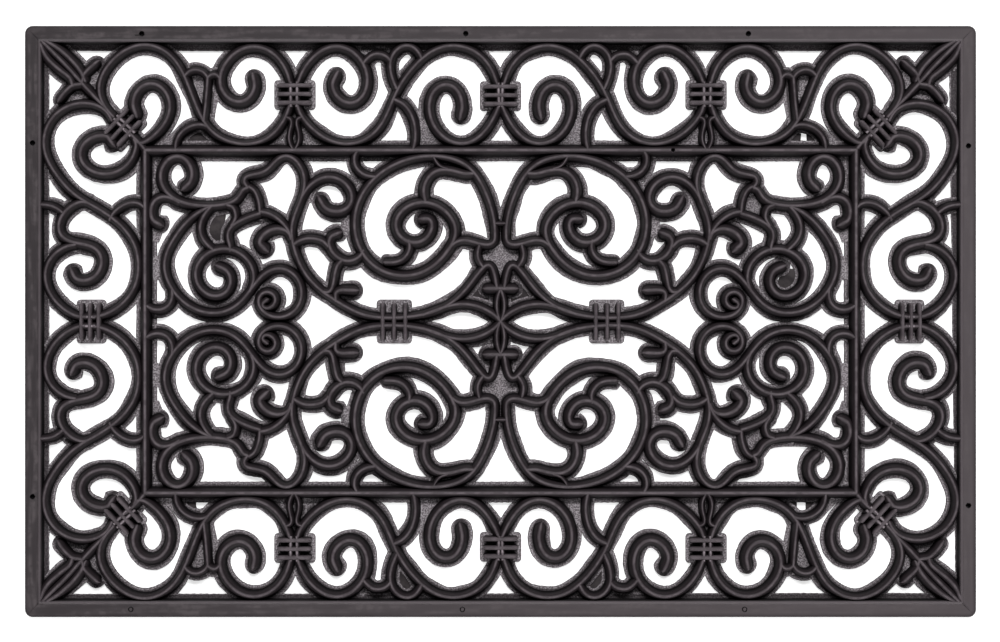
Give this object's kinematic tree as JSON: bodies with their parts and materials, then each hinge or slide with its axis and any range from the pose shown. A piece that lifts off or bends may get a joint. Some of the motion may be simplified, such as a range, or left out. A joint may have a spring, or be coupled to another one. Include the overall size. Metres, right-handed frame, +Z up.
{
  "type": "doormat",
  "caption": "Flat rectangular doormat of moulded black rubber with a smooth rim, an inner rail and an open scrollwork of ridged bars joined by banded ties.",
  "frame": {"origin": "centre of the underside, on the floor", "axes": "+X along the mat's length, +Y across it, +Z up out of its ridged face"},
  "size_m": [0.74, 0.46, 0.0098],
  "materials": {
    "rubber": "satin"
  },
  "bodies": {
    "root": {"border_centre_scroll_bottom_left": "rubber", "border_centre_scroll_bottom_right": "rubber", "border_centre_scroll_top_left": "rubber", "border_centre_scroll_top_right": "rubber", "border_scroll_pair_bottom_left": "rubber", "border_scroll_pair_bottom_right": "rubber", "border_scroll_pair_top_left": "rubber", "border_scroll_pair_top_right": "rubber", "corner_curls_bottom_left": "rubber", "corner_curls_bottom_right": "rubber", "corner_curls_top_left": "rubber", "corner_curls_top_right": "rubber", "corner_leaf_bottom_left": "rubber", "corner_leaf_bottom_right": "rubber", "corner_leaf_top_left": "rubber", "corner_leaf_top_right": "rubber", "corner_top_sweep_bottom_left": "rubber", "corner_top_sweep_bottom_right": "rubber", "corner_top_sweep_top_left": "rubber", "corner_top_sweep_top_right": "rubber", "medallion_bottom_left": "rubber", "medallion_bottom_right": "rubber", "medallion_top_left": "rubber", "medallion_top_right": "rubber", "middle_curls_bottom": "rubber", "middle_curls_top": "rubber", "panel_sweep_bottom_left": "rubber", "panel_sweep_bottom_right": "rubber", "panel_sweep_top_left": "rubber", "panel_sweep_top_right": "rubber", "panel_volute_bottom_left": "rubber", "panel_volute_bottom_right": "rubber", "panel_volute_top_left": "rubber", "panel_volute_top_right": "rubber", "rail_bottom": "rubber", "rail_left": "rubber", "rail_right": "rubber", "rail_top": "rubber", "rim_bottom": "rubber", "rim_left": "rubber", "rim_right": "rubber", "rim_top": "rubber", "side_scroll_bottom_left": "rubber", "side_scroll_bottom_right": "rubber", "side_scroll_top_left": "rubber", "side_scroll_top_right": "rubber", "tie_corner_bottom_left": "rubber", "tie_corner_bottom_right": "rubber", "tie_corner_top_left": "rubber", "tie_corner_top_right": "rubber", "tie_middle_bottom": "rubber", "tie_middle_top": "rubber", "tie_panel_left": "rubber", "tie_panel_right": "rubber", "tie_second_bottom_left": "rubber", "tie_second_bottom_right": "rubber", "tie_second_top_left": "rubber", "tie_second_top_right": "rubber", "tie_side_left": "rubber", "tie_side_right": "rubber"}
  },
  "joints": []
}
